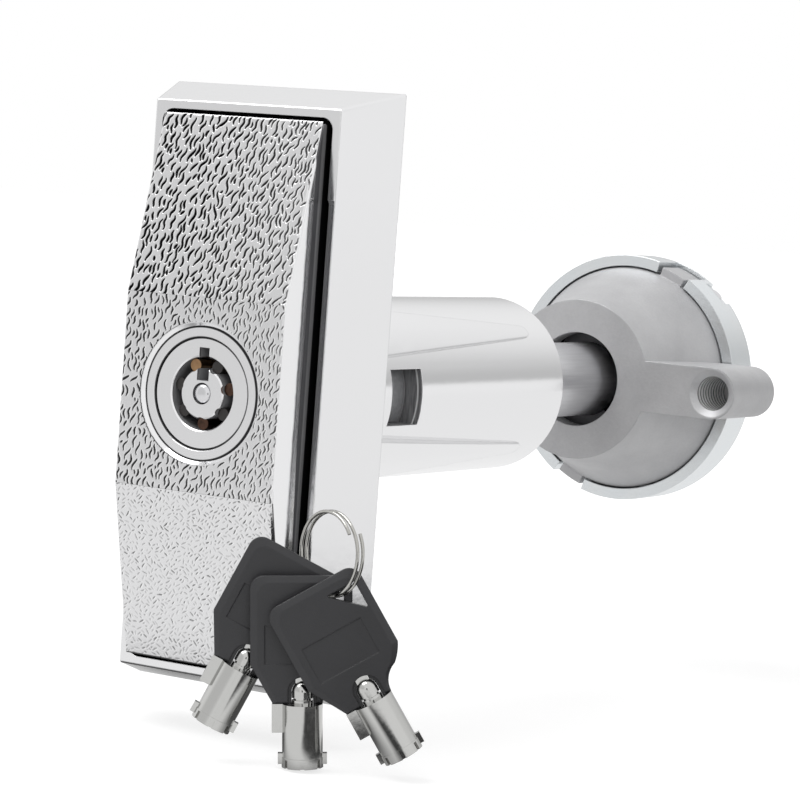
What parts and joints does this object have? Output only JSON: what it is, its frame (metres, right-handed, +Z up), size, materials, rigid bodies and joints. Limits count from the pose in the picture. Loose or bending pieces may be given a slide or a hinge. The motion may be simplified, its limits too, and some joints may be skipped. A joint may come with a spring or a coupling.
{
  "type": "vending machine lock",
  "caption": "Pop-out T-handle lock for a vending machine door, with a tapered bezel, barrel, tubular key cylinder, threaded shaft receiver and a ring of keys.",
  "frame": {"origin": "on the lock's axis, in the back plane of the bezel that lies on the door", "axes": "+Y runs back into the machine along the barrel and shaft, +Z up along the handle, +X to the side of the bolt's window"},
  "size_m": [0.06, 0.1479, 0.094],
  "materials": {
    "chrome_plate": "polished",
    "lock_chrome": "polished",
    "zinc_casting": "satin",
    "zinc_plate": "satin",
    "steel_rod": "satin",
    "spring_steel": "satin",
    "jaw_steel": "satin",
    "sintered_bronze": "satin",
    "lock_brass": "satin",
    "pin_brass": "polished",
    "ring_nickel": "polished",
    "key_nickel": "polished",
    "bow_plastic": "matte"
  },
  "bodies": {
    "housing_unit": {"housing": "chrome_plate", "rear_bush": "sintered_bronze", "rear_snap_ring": "spring_steel", "drive_shaft": "steel_rod", "thrust_washer": "steel_rod", "pop_spring": "spring_steel"},
    "handle_unit": {"handle": "chrome_plate", "lock_shell": "lock_chrome", "lock_face": "lock_chrome", "pin_barrel": "lock_brass", "shell_pin": "steel_rod", "bolt_spring": "spring_steel", "pin_spring_1": "spring_steel", "pin_spring_2": "spring_steel", "pin_spring_3": "spring_steel", "pin_spring_4": "spring_steel", "pin_spring_5": "spring_steel", "pin_spring_6": "spring_steel", "pin_spring_7": "spring_steel"},
    "rotor_unit": {"rotor": "lock_chrome", "post_pin": "steel_rod", "rotor_clip": "spring_steel", "cam": "zinc_casting"},
    "cross_bolt": {"lock_bolt": "zinc_casting"},
    "receiver": {"receiver_body": "zinc_casting", "receiver_cup": "zinc_plate", "cup_pin": "steel_rod", "jaw_retainer": "zinc_casting", "jaw_spring_ring": "spring_steel"},
    "ring": {"key_ring": "ring_nickel"},
    "key_pin_1": {"key_pin_1": "pin_brass"},
    "driver_pin_1": {"driver_pin_1": "pin_brass"},
    "key_pin_2": {"key_pin_2": "pin_brass"},
    "driver_pin_2": {"driver_pin_2": "pin_brass"},
    "key_pin_3": {"key_pin_3": "pin_brass"},
    "driver_pin_3": {"driver_pin_3": "pin_brass"},
    "key_pin_4": {"key_pin_4": "pin_brass"},
    "driver_pin_4": {"driver_pin_4": "pin_brass"},
    "key_pin_5": {"key_pin_5": "pin_brass"},
    "driver_pin_5": {"driver_pin_5": "pin_brass"},
    "key_pin_6": {"key_pin_6": "pin_brass"},
    "driver_pin_6": {"driver_pin_6": "pin_brass"},
    "key_pin_7": {"key_pin_7": "pin_brass"},
    "driver_pin_7": {"driver_pin_7": "pin_brass"},
    "jaw_1": {"nut_jaw_1": "jaw_steel"},
    "jaw_2": {"nut_jaw_2": "jaw_steel"},
    "jaw_3": {"nut_jaw_3": "jaw_steel"},
    "jaw_4": {"nut_jaw_4": "jaw_steel"},
    "key_1": {"key_bow_1": "bow_plastic", "key_blade_1": "key_nickel"},
    "key_2": {"key_bow_2": "bow_plastic", "key_blade_2": "key_nickel"},
    "key_3": {"key_bow_3": "bow_plastic", "key_blade_3": "key_nickel"}
  },
  "joints": [
    {"name": "handle_pop", "type": "slide", "parent": "housing_unit", "child": "handle_unit", "axis": [0, 1, 0], "range_m": [-0.02, 0], "deforming": ["pop_spring"]},
    {"name": "rotor_turn", "type": "hinge", "parent": "handle_unit", "child": "rotor_unit", "pos_m": [0, 0, 0], "axis": [0, 1, 0], "range_deg": [0, 90]},
    {"name": "bolt_throw", "type": "slide", "parent": "handle_unit", "child": "cross_bolt", "axis": [1, 0, 0], "range_m": [0, 0.003], "deforming": ["bolt_spring"]},
    {"name": "receiver_turn", "type": "hinge", "parent": "housing_unit", "child": "receiver", "pos_m": [0, 0.105, 0], "axis": [0, 1, 0], "continuous": true},
    {"name": "key_pin_1_push", "type": "slide", "parent": "rotor_unit", "child": "key_pin_1", "axis": [0, -1, 0], "range_m": [-0.002, 0], "stiffness_N_per_m": 150},
    {"name": "driver_pin_1_push", "type": "slide", "parent": "handle_unit", "child": "driver_pin_1", "axis": [0, -1, 0], "range_m": [-0.002, 0], "deforming": ["pin_spring_1"]},
    {"name": "key_pin_2_push", "type": "slide", "parent": "rotor_unit", "child": "key_pin_2", "axis": [0, -1, 0], "range_m": [-0.002, 0], "stiffness_N_per_m": 150},
    {"name": "driver_pin_2_push", "type": "slide", "parent": "handle_unit", "child": "driver_pin_2", "axis": [0, -1, 0], "range_m": [-0.002, 0], "deforming": ["pin_spring_2"]},
    {"name": "key_pin_3_push", "type": "slide", "parent": "rotor_unit", "child": "key_pin_3", "axis": [0, -1, 0], "range_m": [-0.002, 0], "stiffness_N_per_m": 150},
    {"name": "driver_pin_3_push", "type": "slide", "parent": "handle_unit", "child": "driver_pin_3", "axis": [0, -1, 0], "range_m": [-0.002, 0], "deforming": ["pin_spring_3"]},
    {"name": "key_pin_4_push", "type": "slide", "parent": "rotor_unit", "child": "key_pin_4", "axis": [0, -1, 0], "range_m": [-0.002, 0], "stiffness_N_per_m": 150},
    {"name": "driver_pin_4_push", "type": "slide", "parent": "handle_unit", "child": "driver_pin_4", "axis": [0, -1, 0], "range_m": [-0.002, 0], "deforming": ["pin_spring_4"]},
    {"name": "key_pin_5_push", "type": "slide", "parent": "rotor_unit", "child": "key_pin_5", "axis": [0, -1, 0], "range_m": [-0.002, 0], "stiffness_N_per_m": 150},
    {"name": "driver_pin_5_push", "type": "slide", "parent": "handle_unit", "child": "driver_pin_5", "axis": [0, -1, 0], "range_m": [-0.002, 0], "deforming": ["pin_spring_5"]},
    {"name": "key_pin_6_push", "type": "slide", "parent": "rotor_unit", "child": "key_pin_6", "axis": [0, -1, 0], "range_m": [-0.002, 0], "stiffness_N_per_m": 150},
    {"name": "driver_pin_6_push", "type": "slide", "parent": "handle_unit", "child": "driver_pin_6", "axis": [0, -1, 0], "range_m": [-0.002, 0], "deforming": ["pin_spring_6"]},
    {"name": "key_pin_7_push", "type": "slide", "parent": "rotor_unit", "child": "key_pin_7", "axis": [0, -1, 0], "range_m": [-0.002, 0], "stiffness_N_per_m": 150},
    {"name": "driver_pin_7_push", "type": "slide", "parent": "handle_unit", "child": "driver_pin_7", "axis": [0, -1, 0], "range_m": [-0.002, 0], "deforming": ["pin_spring_7"]},
    {"name": "jaw_1_open", "type": "slide", "parent": "receiver", "child": "jaw_1", "axis": [1, 0, 0], "range_m": [0, 0.0012], "stiffness_N_per_m": 1500, "deforming": ["jaw_spring_ring"]},
    {"name": "jaw_2_open", "type": "slide", "parent": "receiver", "child": "jaw_2", "axis": [0, 0, 1], "range_m": [0, 0.0012]},
    {"name": "jaw_3_open", "type": "slide", "parent": "receiver", "child": "jaw_3", "axis": [-1, 0, 0], "range_m": [0, 0.0012]},
    {"name": "jaw_4_open", "type": "slide", "parent": "receiver", "child": "jaw_4", "axis": [0, 0, -1], "range_m": [0, 0.0012]},
    {"name": "ring_lift", "type": "slide", "parent": "handle_unit", "child": "ring", "axis": [0.5471, -0.8371, 0], "range_m": [0, 0.06]},
    {"name": "key_1_swing", "type": "hinge", "parent": "ring", "child": "key_1", "pos_m": [0.02766, -0.01936, -0.02458], "axis": [0.5471, -0.8371, 0], "range_deg": [-2, 3]},
    {"name": "key_2_swing", "type": "hinge", "parent": "ring", "child": "key_2", "pos_m": [0.02477, -0.01851, -0.02553], "axis": [0.5471, -0.8371, 0], "range_deg": [-2, 2]},
    {"name": "key_3_swing", "type": "hinge", "parent": "ring", "child": "key_3", "pos_m": [0.02187, -0.01765, -0.0248], "axis": [0.5471, -0.8371, 0], "range_deg": [-5, 2]}
  ],
  "couplings": [
    {"joint": "rotor_turn", "follows": "bolt_throw", "rad_per_m": 523.6},
    {"joint": "driver_pin_1_push", "follows": "key_pin_1_push", "ratio": 1},
    {"joint": "driver_pin_2_push", "follows": "key_pin_2_push", "ratio": 1},
    {"joint": "driver_pin_3_push", "follows": "key_pin_3_push", "ratio": 1},
    {"joint": "driver_pin_4_push", "follows": "key_pin_4_push", "ratio": 1},
    {"joint": "driver_pin_5_push", "follows": "key_pin_5_push", "ratio": 1},
    {"joint": "driver_pin_6_push", "follows": "key_pin_6_push", "ratio": 1},
    {"joint": "driver_pin_7_push", "follows": "key_pin_7_push", "ratio": 1},
    {"joint": "jaw_2_open", "follows": "jaw_1_open", "ratio": 1},
    {"joint": "jaw_3_open", "follows": "jaw_1_open", "ratio": 1},
    {"joint": "jaw_4_open", "follows": "jaw_1_open", "ratio": 1}
  ]
}
